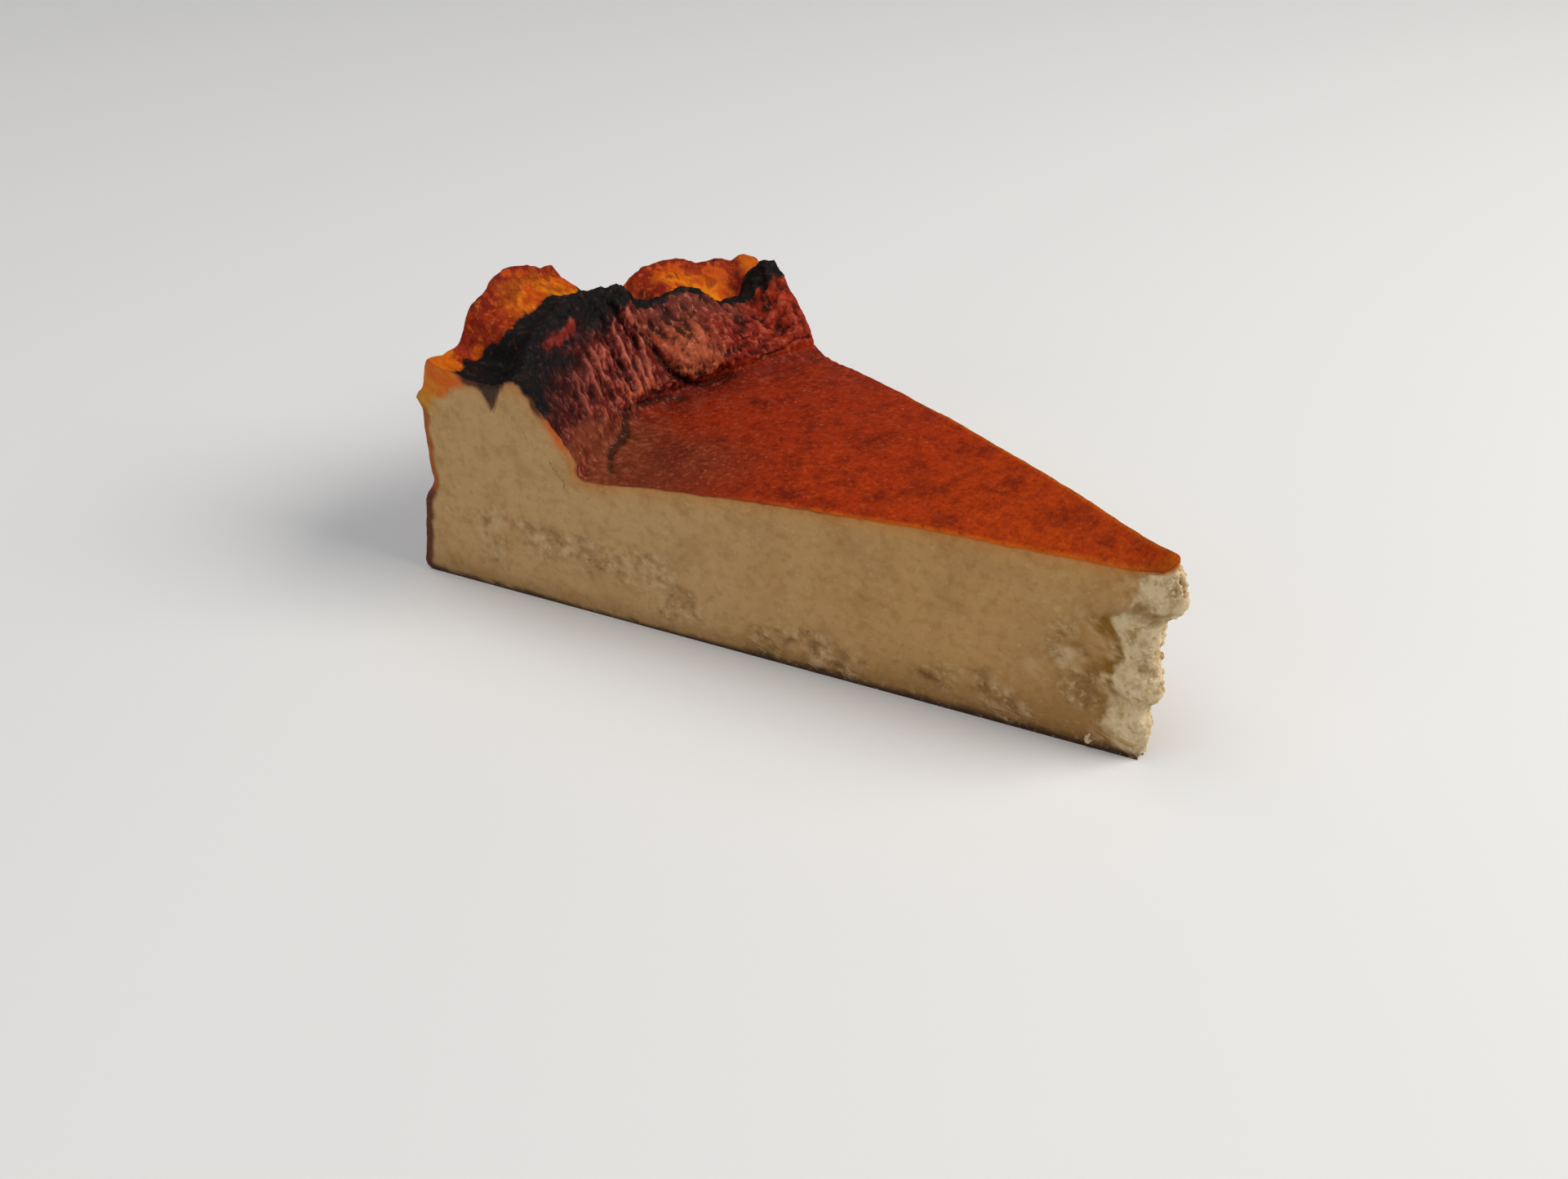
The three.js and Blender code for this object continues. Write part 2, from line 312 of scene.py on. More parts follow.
hue = hues(
    # the flat top, the rim and the wall
    # The colours of the rim's hollows, creases and crack are painted shade, those of its ridges painted
    # highlight, and the lobe's pale tan partly painted highlight
    tip=(166, 55, 5), middle=(159, 46, 7), far=(147, 40, 9), dull=(114, 48, 26), foot=(116, 54, 30),
    foot_light=(168, 92, 66), edge_line=(198, 102, 14), spot=(88, 20, 8), slope=(96, 26, 19),
    slope_dark=(50, 18, 15), hollow=(34, 9, 8), ridge=(198, 104, 84), low_ridge=(196, 98, 64),
    puffed=(124, 30, 16), puffed_light=(172, 84, 52), puffed_top=(108, 52, 42),
    puffed_edge=(156, 44, 14), puffed_glow=(196, 82, 46), outer_bright=(226, 130, 10),
    outer_orange=(190, 74, 12), outer_red=(124, 26, 14), outer_dark=(56, 22, 14),
    corner_skin=(196, 96, 14), wall_top=(164, 96, 42), wall_foot=(104, 54, 32), crease=(34, 14, 11),
    crack=(44, 30, 16), streak=(142, 44, 34),
    # their flecks
    tip_fleck=(186, 78, 18), foot_fleck=(164, 84, 56), slope_fleck=(200, 104, 86),
    dark_fleck=(128, 70, 60), puffed_fleck=(216, 132, 94), red_fleck=(198, 90, 62),
    outer_fleck=(214, 106, 24), wall_fleck=(182, 118, 66), wall_foot_fleck=(134, 78, 48),
    # the cuts and the torn tip
    # The curd's low colour is partly painted shade and its pit colour painted shade; the tear's olive edge
    # is partly painted shade, and wholly so under the tip's overhang; the base edge is dark crust with
    # painted contact shadow
    curd=(198, 160, 108), curd_warm=(197, 153, 96), curd_low=(147, 105, 52), curd_pit=(128, 94, 50),
    curd_bit=(216, 188, 144), torn=(227, 203, 162), torn_fleck=(239, 224, 190),
    torn_shade=(176, 142, 82), tear_edge=(140, 96, 0), under_skin=(204, 132, 56),
    skin_edge=(186, 96, 30), burnt_edge=(42, 20, 15), wedge=(78, 27, 16), corner=(216, 98, 6),
    bump=(206, 152, 36), rind_top=(168, 90, 32), rind_low=(92, 36, 22), base_edge=(52, 30, 20),
    # the base
    base_pale=(150, 96, 52), base_dark=(104, 58, 32),
)


def over(below, tone, mask):
    """One colour laid over another as far as the mask, 0 to 1, says."""
    return mix(below, tone, np.clip(mask, 0, 1)[..., None])


def painted(tone, *layers):
    """A colour with others laid over it in turn, each given as a colour and its mask."""
    for layer, mask in layers:
        tone = over(tone, layer, mask)
    return tone


ARC = 1.83  # mm across the rim for each degree
SLOPE = 20  # mm from the rim's foot up to its crest, about

# Lines on the rim: (depth or height, half width, points of (angle, mm up the slope from its foot))
CREASES = (
    (1.2, 0.75, ((-0.7, 14), (-0.1, 12.4), (0.2, 11), (0.5, 8.8), (0.9, 6.2), (1.8, 3.8))),
    (0.8, 0.5, ((1.8, 3.8), (2.8, 2), (4, 0.9), (5.5, 0.4), (7, 0.2), (8.5, 0.1))),
    (0.5, 0.4, ((9.5, 0.8), (11, 3), (12.1, 3.8), (13.7, 4.6), (15.5, 5.4), (16.9, 4.4), (18.3, 4.6))),
    (0.5, 0.6, ((11.2, 3.9), (12.4, 4), (13.2, 4.6))),
    (1.2, 0.5, ((-2.9, 17.6), (-2.3, 15.6), (-2, 13.8), (-1.6, 12), (-1.3, 11))),
    (1, 0.55, ((-4.5, 16), (-4.9, 13.4), (-5, 12), (-4.8, 10.4), (-4.2, 8.8))),
    (0.35, 0.6, ((6.7, 16.4), (6.1, 13.6), (6.5, 12), (5.9, 9.4), (5.6, 6.4))),
    (0.35, 0.5, ((4.4, 18), (5.4, 15.6), (5.2, 14.2))),
    (0.4, 0.4, ((-8.1, 13.8), (-8, 11.4), (-7.9, 8.2), (-7.4, 5.5))),
    (0.4, 0.4, ((-10.2, 12.5), (-10.1, 10), (-10.4, 7))),
    (0.4, 0.4, ((-12.7, 12.5), (-12.6, 9), (-13, 6.5))),
)
RIDGES = (
    (0.6, 0.42, (
        (-4.1, 16.6), (-3.6, 14.8), (-3.6, 12.8), (-3.4, 10.6), (-3.3, 8.6), (-3.4, 6.4), (-4, 5.2),
    )),
    (0.6, 0.5, ((-2, 17), (-1.1, 15.4), (-0.6, 13.6), (-1, 11.4), (-1.4, 9.2), (-1.5, 7.2), (-1.8, 5.2))),
    (0.55, 0.36, ((-7.7, 13.8), (-7.4, 11.4), (-7.4, 9.6))),
    (0.55, 0.36, ((-5.2, 8), (-5.2, 6.2), (-5.6, 4.6))),
    (0.55, 0.36, ((-11, 13.2), (-11.3, 11.4), (-11.5, 9.8), (-11.8, 7.4))),
    (0.4, 0.4, ((-14.6, 16.8), (-14.6, 15.6), (-14.9, 14.2))),
    (0.5, 0.4, ((-9, 13.4), (-8.6, 11.6), (-9, 10.6), (-9, 8.4))),
    (0.5, 0.36, ((-6.2, 13.2), (-6.8, 10.6))),
    (0.5, 0.36, ((-2.4, 10.2), (-2.3, 7.8), (-2.6, 5.4))),
)
CRACK = (  # two lines, the first of them wider
    ((-15.9, -2.2), (-13.3, -0.4), (-10.8, 0.8), (-9.4, 0.5), (-8, 1), (-7.2, 2.2), (-6.9, 3.6)),
    ((-6.9, 3.6), (-5, 3.5), (-3.6, 3), (-1.9, 2.1), (0, 1), (1.2, 0)),
)
STREAK = ((-12.9, 17.5), (-8.5, 17.1))  # a red band in the black below the crest

# Soft dark spots on the flat top: (radius, angle, half width)
DARK_SPOTS = (
    (76.7, 6.6, 1.7), (61, -14.3, 2.6), (47.2, -10, 1.8), (35.5, -14.5, 2.2), (68, -15, 1.6),
    (94.3, -4.2, 1.3), (20, 12, 1.6), (58, 7, 1.8), (13, 2, 1.5),
)


def distance_to(spots, path):
    """Distance in mm from each spot to a line of (angle, mm up) points."""
    corners = np.array(path) * (ARC, 1)
    nearest = np.full(spots.shape[:-1], np.inf)
    for a, b in zip(corners[:-1], corners[1:]):
        step = b - a
        share = np.clip(((spots - a) @ step) / (step @ step), 0, 1)
        nearest = np.minimum(nearest, np.linalg.norm(spots - (a + share[..., None] * step), axis=-1))
    return nearest


def crease_angle(up):
    """Where the puffed fold laps over the wrinkled slope, at each height up the slope."""
    return -0.9 + 2.4 * fade(up, 2, 13) + 9 * fade(up, -0.5, 3)


def skin_fields(grid, place):
    """Named masks over the skin, 0 to 1, and each point's angle, radius, height and place up the rim."""
    angle = np.broadcast_to(angles[None, :], grid.shape[:2])
    spans = np.broadcast_to(place[:, None], grid.shape[:2])
    radius = np.hypot(grid[..., 0], grid[..., 1])
    share = (spans - FOOT) / (CREST - FOOT)
    up = np.where(share < 0, radius - foot_radius_at(angle), share * SLOPE)
    f = SimpleNamespace(angle=angle, radius=radius, share=share, height=grid[..., 2], up=up)
    f.flat = fade(up, -1.5, 1)
    f.slope = smooth(up, -0.5, 1.2) * fade(share, 0.98, 1.04)
    f.outer = smooth(share, 1.08, 1.22)
    f.wall = smooth(spans, EDGE + 0.05, EDGE + 0.5)
    past = angle - crease_angle(up)
    f.puffed = smooth(past, -0.4, 0.6) * f.slope
    f.wrinkled = fade(past, -0.6, 0.2) * f.slope

    spots = np.stack([angle * ARC, up], -1)
    spots = spots + 0.35 * np.stack([rough(grid, 2, 2, 9), rough(grid, 2, 2, 10)], -1)
    f.groove = sum(depth * near(distance_to(spots, path), width) for depth, width, path in CREASES)
    f.ridge = sum(height * near(distance_to(spots, path), width) for height, width, path in RIDGES)
    crack = np.minimum(distance_to(spots, CRACK[0]) - 0.2, distance_to(spots, CRACK[1]))
    f.crack = fade(crack, 0.1, 0.7)
    from_streak = distance_to(spots, STREAK)
    streak = near(from_streak, 0.6) + 0.8 * lump(share, 0.95, 0.05, 2) * lump(angle, -16.4, 0.5, 2)
    f.streak = np.clip(streak * (1 + 0.3 * rough(grid, 1.1, 3, 13.8)), 0, 1)
    f.beside_streak = near(from_streak, 2.2)
    banded = rough(np.stack([angle * ARC / 6, up / 1.3, 0 * up], -1), 1, 3, 12.5)
    f.bands = banded / banded.std()
    f.stroke = slope_stroke(grid, f)
    return f


def strokes(f, width, length, lean, place, wander=0):
    """Noise of mean 0 and spread 1, drawn out up the slope and leaning by so many mm for each mm up."""
    across = f.angle * ARC + lean * f.up + wander
    values = rough(np.stack([across / width, f.up / length, 0 * across], -1), 1, 3, place)
    return (values - values.mean()) / values.std()


def slope_stroke(grid, f):
    """The wrinkles up the rim: below 0 in their hollows and above 0 on the ridges between."""
    angle, up = f.angle, f.up
    wrinkles = strokes(f, 0.85, 2.8, 0.13, 5, 1.8 * rough(grid, 4, 3, 5.2))
    fan = strokes(f, 1.2, 4, 0.34, 6, 0.8 * rough(grid, 5, 3, 6.2))
    cobbles = strokes(f, 1.4, 2, 0.15, 7)
    knots = strokes(f, 0.9, 1.2, 0, 7.5)
    upper = lump(angle, 4, 5, 4) * smooth(up, 9, 14)
    lobe = mix(mix(0.9 * knots, cobbles, smooth(angle, 5.5, 8.5)), 0.8 * fan + 0.4 * knots, upper)
    calm = 1 - 0.15 * lump(angle, 3.6, 2.4, 4) * lump(up, 8, 4.5, 4)
    begins = mix(0.5, 5.5, smooth(-angle, 5, 15)) + 2 * smooth(angle, 6, 9)
    climb = smooth(up - begins, 0, 3.5)
    return f.wrinkled * climb * (0.6 * wrinkles + 0.8 * knots) + f.puffed * calm * climb * lobe


def skin_relief(grid, f):
    """How far the skin stands out from its smooth form, in mm."""
    angle, up = f.angle, f.up
    broad, middle = rough(grid, 14, 2, 1), rough(grid, 3, 3, 2)
    fine = rough(grid, 1.1, 3, 3)
    relief = f.flat * (0.25 * broad + 0.14 * middle + 0.05 * fine)
    arcs = ridged((up + 1.6 * broad) / 2.8) * smooth(up, -20, -8) * smooth(angle, -6, 4) * fade(up, -2, 0)
    relief += 0.2 * f.flat * arcs

    relief += mix(0.2, 0.15, f.wrinkled) * f.stroke
    relief += 0.9 * f.puffed * lump(angle, 4, 3.4, 2) * lump(up, 9, 6, 2)
    relief += f.slope * (0.4 * f.ridge - f.groove) - 0.4 * f.crack
    relief += 1.1 * lump(up, 0.8, 2.4, 2) * smooth(angle, 6, 9)
    relief += f.slope * (0.12 * middle + 0.08 * fine)
    crest = lump(f.share, 1.02, 0.2, 4)
    relief += crest * (0.35 * rough(grid, 2.4, 3, 6.5) + 0.3 * rough(grid, 0.9, 2, 6.8))

    relief += (f.outer - f.wall) * (0.3 * rough(grid, 3.4, 3, 7.5) + 0.35 * knobs(grid, 2.6) + 0.1 * fine)
    off_cuts = smooth(HALF_ANGLE - np.abs(angle), 0, 4)
    paper = ridged(angle / 2.3 + 0.8 * rough(grid, 12, 2, 8)) - 0.35
    relief += f.wall * (0.2 * middle + 0.08 * fine - 0.5 * paper * off_cuts)
    relief += f.wall * lump(f.height, BUMP[0], 1.3, 2, 1.3) * lump(angle, -HALF_ANGLE, 2.2, 2)
    return relief


# Spots of painted shade on the rim: (angle, mm up from its foot, half width in mm)
SLOPE_SPOTS = ((12.1, 4.2, 1), (15.9, 5.6, 0.7), (11.2, 13.5, 0.8))
FOLD_SPOTS = (
    (-12.4, 32.8, 0.9), (-8.6, 34, 0.7), (-6.9, 34.4, 0.6), (4.6, 28.4, 0.7), (7.2, 34.8, 1.2),
    (13.6, 33.2, 0.8), (15.2, 28.4, 0.7),
)
# Where the folds behind the crest are brightest, as lumps of angle and share, and red, as lumps of angle
BRIGHT_FOLDS = (((-6.4, 4, 4), (1.4, 0.24, 4)), ((9.9, 3.4, 4), (1.28, 0.2, 4)))
RED_FOLDS = ((-12.9, 1.9, 4), (5, 1.5, 4), (14.8, 0.8, 4))
WALL_PALES = (12, 34)  # the heights between which the wall turns from dark to pale


def flat_tone(grid, f):
    angle, radius, up = f.angle, f.radius, f.up
    bands = smooth(f.bands, 0.4, 1.6) * smooth(up, -9, -3) * fade(up, 0.5, 2.5)
    flecks = smooth(rough(grid, 1.6, 3, 11.5), 0.15, 0.5) * smooth(up, -12, -3) * fade(up, 8, 11)
    blotches = 0.5 + 0.9 * rough(grid, 5.5, 3, 11)
    tone = painted(
        hue.tip,
        (hue.middle, smooth(radius, 15, 60)),
        (hue.far, smooth(radius, 50, 90)),
        (hue.dull, smooth(radius, 60, 84) * fade(angle, -11, -1)),
        (hue.foot, smooth(up, -9, -1) * fade(angle, -9, -2)),
        (hue.foot_light, 0.4 * bands * smooth(angle, -2, 3)),
        (hue.foot_light, 0.35 * flecks),
        (hue.slope, 0.7 * smooth(up, -8, 0) * smooth(angle, -6, 0)),
        (hue.spot, 0.45 * smooth(blotches, 0.55, 1.1)),
    )
    for spot_radius, spot_angle, size in DARK_SPOTS:
        spot = polar(spot_radius, np.array(spot_angle), 0)
        gap = np.linalg.norm(grid[..., :2] - spot[:2], axis=-1)
        tone = over(tone, hue.spot, 0.5 * near(gap, size))
    to_cut = radius * np.radians(HALF_ANGLE - np.abs(angle))
    to_cut = np.minimum(to_cut, radius - SKIN_TIP_RADIUS + 0.3 + 0.4 * blotches)
    line = fade(to_cut, 0.1, mix(1.3, 0.9, smooth(angle, -1, 1)))
    return over(tone, hue.edge_line, 0.5 * line * fade(up, -45, -20))


def spotted(tone, f, spots, layer, strength):
    for angle, up, size in spots:
        gap = np.hypot((f.angle - angle) * ARC, f.up - up)
        tone = over(tone, layer, strength * near(gap, size))
    return tone


def outer_tone(grid, f):
    """The folds behind the crest, that kept their orange, and the wall below them."""
    angle, share = f.angle, f.share
    mottle = 0.5 + 1.5 * rough(grid, 2.6, 3, 12)
    uneven = mottle - 0.5
    bright = sum(lump(angle, *across) * lump(share, *back) for across, back in BRIGHT_FOLDS)
    rim = mix(1.46, 1.39, smooth(-angle, 0, 4))
    red = smooth(share + 0.25 * uneven, rim, rim + 0.15)
    for fold in RED_FOLDS:
        red = np.maximum(red, lump(angle + 1.2 * uneven, *fold))
    tone = painted(
        hue.outer_orange,
        (hue.outer_bright, bright * smooth(mottle, -0.1, 0.6)),
        (hue.outer_red, 0.95 * red * (1 - 0.25 * smooth(mottle, 0.55, 0.95))),
        (hue.corner_skin, fade(angle + 1.4 * uneven, -16.2, -15)),
        (hue.corner_skin, 0.7 * smooth(angle, 15.4, 16.2)),
    )
    tone = spotted(tone, f, FOLD_SPOTS, hue.outer_dark, 0.8)
    wall = over(hue.wall_foot, hue.wall_top, smooth(f.height, *WALL_PALES))
    return over(tone, wall, f.wall)


def fleck_tone(f):
    """The colour of the skin's fine pale flecks."""
    wall = over(hue.wall_foot_fleck, hue.wall_fleck, smooth(f.height, *WALL_PALES))
    return painted(
        hue.tip_fleck,
        (hue.foot_fleck, smooth(f.up, -45, -8)),
        (hue.slope_fleck, f.slope),
        (hue.dark_fleck, f.slope * fade(f.angle, -13, -6) * smooth(f.up, 3, 9)),
        (hue.puffed_fleck, f.puffed),
        (hue.red_fleck, f.slope * smooth(f.angle, 7, 11)),
        (hue.outer_fleck, f.outer),
        (wall, f.wall),
    )


def skin_tone(grid, f):
    angle, up = f.angle, f.up
    begins = 6 * smooth(-angle, 4, 15)
    dark = fade(angle, -14, -5) * smooth(up, 6, 13)
    pale = lump(angle, 3.6, 2.8, 3) * lump(up, 9.5, 6.5, 4)
    raised = 1.3 * np.clip(f.ridge / 0.5, 0, 1) ** 1.5 + 0.8 * smooth(f.stroke, 0.6, 1.8)
    raised = np.clip(raised, 0, 1.2) * f.slope * (1 - 0.75 * dark) * smooth(up, 1, 4)
    # The colour of the painted highlight on the raised ridges and wrinkles
    lit = painted(
        hue.ridge,
        (hue.low_ridge, fade(up, 5, 9)),
        (hue.puffed_glow, 0.7 * smooth(angle, 6, 10)),
    )
    tone = painted(
        flat_tone(grid, f),
        (hue.slope, smooth(up, begins, 4 + begins) * f.wrinkled),
        (hue.slope_dark, 0.9 * dark * f.wrinkled),
        (hue.puffed, f.puffed),
        # A pale tan on the lobe's bulge, partly its own colour and partly painted highlight
        (hue.puffed_light, pale * f.puffed),
        (hue.puffed_edge, 0.8 * smooth(angle, 3, 6) * fade(up, 3, 6) * f.puffed),
        (hue.puffed_edge, 0.6 * smooth(angle, 13, 16) * f.puffed),
        (hue.puffed_top, 0.8 * smooth(up, 12, 17) * fade(angle, 11, 14) * f.puffed),
        # Painted shade in the wrinkles' hollows
        (hue.hollow, 0.85 * smooth(-f.stroke, 0.1, 1.4) * f.slope),
        # Painted highlight on the raised ridges
        (lit, 0.7 * raised),
        (outer_tone(grid, f), f.outer),
        # Painted shade in the creases
        (hue.crease, 0.9 * smooth(f.groove, 0.15, 0.8) * f.slope),
    )
    # Dark spots in the same painted shade as the creases
    tone = spotted(tone, f, SLOPE_SPOTS, hue.crease, 0.75)
    reddened = f.streak * mix(0.5, 1, smooth(angle, -12.5, -10))
    # The crack's dark colour is painted shade
    return painted(tone, (hue.streak, 0.9 * reddened), (hue.crack, 0.85 * f.crack))


# Where the black begins on the slope and ends behind the crest: (angle, share of the slope)
BURN_STARTS = (
    (-18, 0.82), (-16.5, 0.84), (-15.2, 0.88), (-14.4, 0.88), (-12.8, 0.88), (-10.8, 0.84), (-8.2, 0.86),
    (-6.5, 0.88), (-1, 0.9), (1.9, 0.93), (3, 0.95), (4.8, 0.98), (6, 0.97), (7.2, 0.93), (8.6, 0.95),
    (10.6, 0.97), (12, 0.93), (13.2, 0.91), (14.6, 0.95), (15.6, 0.89), (16.8, 0.85), (18, 0.85),
)
BURN_ENDS = (
    (-18, 1.38), (-15.5, 1.44), (-14.2, 1.38), (-13, 1.31), (-3.6, 1.27), (-2.4, 1.5), (-1, 1.4), (3, 1.05),
    (13, 1.06), (16, 1.3), (18, 1.35),
)


def skin_burn(grid, f):
    """0 where the skin isn't burnt, rising to 1 where it is black."""
    angle, share = f.angle, f.share
    ragged = share + 0.06 * rough(grid, 2.2, 4, 13)
    start, end = (np.interp(angle, *np.array(table).T) for table in (BURN_STARTS, BURN_ENDS))
    soft = mix(0.3, 0.08, smooth(angle, -6, 1))
    black = smooth(ragged, start - soft, start + 0.04) * fade(0.5 * (ragged + share), end, end + 0.07)
    dusty = smooth(rough(grid, 1.4, 2, 14), 0, 0.4) * lump(share, 1.28, 0.09, 2)
    spared = 0.5 * f.beside_streak + 0.5 * smooth(f.streak, 0, 1)
    return np.clip(black * (1 - spared) - 0.55 * dusty * lump(angle, -12.8, 1.8, 2), 0, 1)


# ---- the cut faces and the torn tip
LEAST_STEP = 0.15  # what a steep step along the skin still counts outwards, as a share of its length
UNDER_SKIN_DEPTH = 1.2
# The orange corner of a cut lies above a line through this radius and height, that rises inwards
CORNER_RADIUS = 120.8
CORNER_HEIGHT = 32.6
CORNER_RISE = 0.68
# A dark wedge reaches down between the folds
WEDGE_RADIUS = 108.95
WEDGE_FOOT = 34.2

# Patches where the knife tore the curd: (radius, height, half length, half height)
NEAR_PATCHES = (
    (112, 12, 6, 5), (102, 12, 7, 5), (90, 12, 8, 4), (82, 10, 5, 5), (77, 5, 6, 4), (60, 4.5, 8, 4),
    (52, 4, 5, 4), (47, 7, 3, 5), (31, 6, 5, 5), (23, 4, 6, 4), (15, 17, 3.5, 7), (12, 10, 3, 5),
)
FAR_PATCHES = ((100, 9, 10, 4), (84, 12, 8, 4), (45, 6, 9, 4), (20, 14, 6, 6))

# Crumbs of torn curd on the tip
TIP_CRUMBS = 150
TIP_CRUMB_ROW = 7  # the first row of the tip, counted from the skin, that has crumbs
TIP_CRUMB_MARGIN = 6  # columns by each cut that have none
TIP_CRUMB_RADII = (0.25, 0.6)
TIP_CRUMB_SINK = 0.5  # how far a crumb's middle lies below the surface, in radii
TIP_CRUMB_SEED, CRUMB_SHAPE_SEED = 3, 5
CRUMB_LUMPINESS = 0.45
CRUMB_STRETCH = (0.7, 1.2)
CRUMB_PALENESS = (0.2, 1.1)
# One larger crumb by the foot of the near cut: (radius in the cake, height, own radius) of its lumps
STRAY_LUMPS = ((10, 1.2, 0.5), (10.2, 1.8, 0.5), (9.9, 2.3, 0.35))


def patch_mask(radius, height, patches):
    total = sum(near(radius - r, half_r) * near(height - z, half_z) for r, z, half_r, half_z in patches)
    return np.clip(total, 0, 1)


def nearest_on_line(points, line):
    """For each point its distance to a line of points."""
    flat = points.reshape(-1, 3)
    distance = np.full(len(flat), np.inf)
    for spot in line:
        distance = np.minimum(distance, np.linalg.norm(flat - spot, axis=1))
    return distance.reshape(points.shape[:-1])


def cut_face(skin_edge, tip_edge):
    """A sheet between a cut's four edges: the skin above, the wall, the base and the torn tip."""
    above, wall = skin_edge[: EDGE_ROW + 1], skin_edge[EDGE_ROW:]
    outwards = np.diff(np.hypot(above[:, 0], above[:, 1]))
    steps = np.maximum(outwards, LEAST_STEP * np.linalg.norm(np.diff(above, axis=0), axis=1))
    a = (np.r_[0, np.cumsum(steps)] / steps.sum())[:, None, None]
    b = np.linspace(0, 1, len(wall))[None, :, None]
    base = mix(tip_edge[-1], wall[-1], a[:, 0])
    lofted = mix(above[:, None], base[:, None], b) + mix(tip_edge[None], wall[None], a)
    corners = mix(mix(above[0], above[-1], a), mix(tip_edge[-1], wall[-1], a), b)
    return lofted - corners


def face_fields(sheet, skin_edge, tip_edge, patches, side):
    """Distances from a cut face's edges in mm, and noise and masks over it."""
    height, radius = sheet[..., 2], np.hypot(sheet[..., 0], sheet[..., 1])
    f = SimpleNamespace(height=height, radius=radius)
    f.below_skin = nearest_on_line(sheet, skin_edge[: EDGE_ROW + 1])
    f.below_wall = nearest_on_line(sheet, skin_edge[EDGE_ROW:])
    f.from_tear = nearest_on_line(sheet, tip_edge)
    f.patchy = rough(sheet, 7, 3, 19 + side)
    f.coarse = rough(sheet, 2.4, 3, 20 + side)
    f.ragged = 0.4 * rough(sheet, 2.5, 3, 26)
    f.bits = knobs(sheet + 0.5 * rough(sheet, 2, 2, 21)[..., None], 1.7)
    torn = smooth(patch_mask(radius, height, patches) + 0.7 * f.patchy, 0.35, 1)
    f.torn = np.maximum(torn, 0.8 * fade(f.from_tear, 1, 4))
    f.rugged = f.torn * fade(height, 7, 12) * fade(radius, 62, 80)
    return f


def face_relief(sheet, f):
    inside = np.minimum(np.minimum(f.below_skin, f.below_wall), np.minimum(f.height, f.from_tear))
    relief = 0.1 * rough(sheet, 11, 2, 24) + 0.04 * f.coarse
    relief = relief + f.torn * (0.25 * f.bits + 0.14 * f.coarse) + 0.5 * f.rugged * f.bits
    return smooth(inside, 0, 0.8) * relief


def curd_tone(f):
    """The colour of cut and of torn curd, away from the browned edges."""
    height, radius = f.height, f.radius
    across, lengthwise = 0.87 * radius - 0.49 * height, 0.49 * radius + 0.87 * height
    streaky = rough(np.stack([across / 1.3, lengthwise / 5, 0 * across], -1), 1, 3, 25)
    lumpy = f.bits + 0.4 * f.coarse
    return painted(
        hue.curd,
        (hue.curd_warm, fade(radius, 30, 90)),
        # Painted shade darkens the curd towards the base, most near the tip; the same colour darkens a
        # patch by the tip and random blotches
        (hue.curd_low, 0.75 * fade(height, 1, 12) * fade(radius, 8, 75)),
        (hue.curd_low, 0.45 * lump(radius, 13, 9, 2) * lump(height, 12, 10, 2)),
        (hue.curd_low, 0.5 * fade(height, 1, 4.5)),
        (hue.curd_bit, 0.6 * smooth(streaky, 0.1, 0.5) * lump(radius, 15, 6, 2) * lump(height, 17, 8, 4)),
        (hue.curd_low, 0.22 * smooth(f.patchy + 0.6 * f.coarse, 0, 0.6)),
        (hue.curd_bit, 0.6 * f.torn * smooth(lumpy, 0, 0.35)),
        # Painted shade in the pits between the torn curd's knobs
        (hue.curd_pit, (0.5 + 0.3 * f.rugged) * f.torn * smooth(-lumpy, 0, 0.35)),
    )


